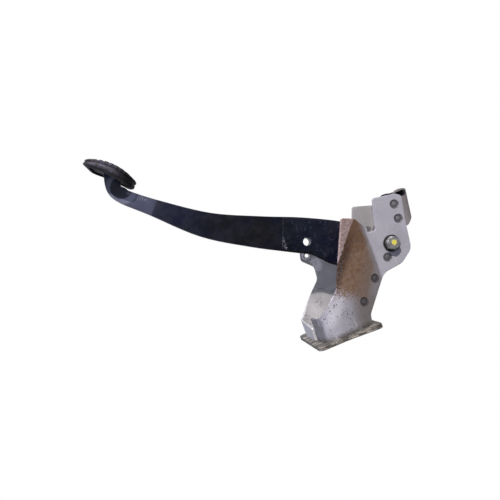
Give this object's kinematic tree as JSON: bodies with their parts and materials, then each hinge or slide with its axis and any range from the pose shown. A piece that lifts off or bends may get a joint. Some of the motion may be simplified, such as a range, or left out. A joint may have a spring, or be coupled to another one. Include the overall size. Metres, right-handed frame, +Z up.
{
  "type": "hanging brake pedal with bracket",
  "caption": "Hanging brake pedal with a ribbed rubber pad, a cranked flat arm and a pressed steel bracket that bolts to the firewall.",
  "frame": {"origin": "centre of the four firewall bolt holes, on the mounting face of the base", "axes": "+Y forward through the firewall, out of the mounting face; +Z up in the car; +X to the car's right, along the pivot axis"},
  "size_m": [0.1004, 0.2495, 0.2994],
  "materials": {
    "plated_steel": "dull zinc plating with rust and specks",
    "dirty_steel": "dull and grimy",
    "fasteners": "dull zinc",
    "dark_washers": "black phosphate",
    "black_paint": "gloss",
    "bushing_plastic": "moulded nylon",
    "spring_steel": "oiled",
    "rubber": "moulded"
  },
  "bodies": {
    "bracket": {"right_side_plate": "plated_steel", "left_side_plate": "plated_steel", "rear_cap": "plated_steel", "front_channel": "plated_steel", "base_plate": "dirty_steel", "base_backing_plate": "dirty_steel", "lug_weld_nut": "fasteners", "stop_buffer": "rubber", "pivot_bolt": "fasteners", "head_washer": "dark_washers", "nut_washer": "dark_washers", "pivot_nut": "fasteners", "pivot_sleeve": "fasteners", "return_spring": "spring_steel"},
    "pedal": {"pedal_arm": "black_paint", "right_doubler": "black_paint", "left_doubler": "black_paint", "pivot_tube": "black_paint", "right_bushing": "bushing_plastic", "left_bushing": "bushing_plastic", "pad_plate": "black_paint", "rubber_pad": "rubber"}
  },
  "joints": [
    {"name": "pedal_pivot", "type": "hinge", "parent": "bracket", "child": "pedal", "pos_m": [0, -0.071, 0.0765], "axis": [1, 0, 0], "range_deg": [0, 22], "stiffness_Nm_per_rad": 2, "springref_deg": -34.38, "deforming": ["return_spring"]}
  ]
}
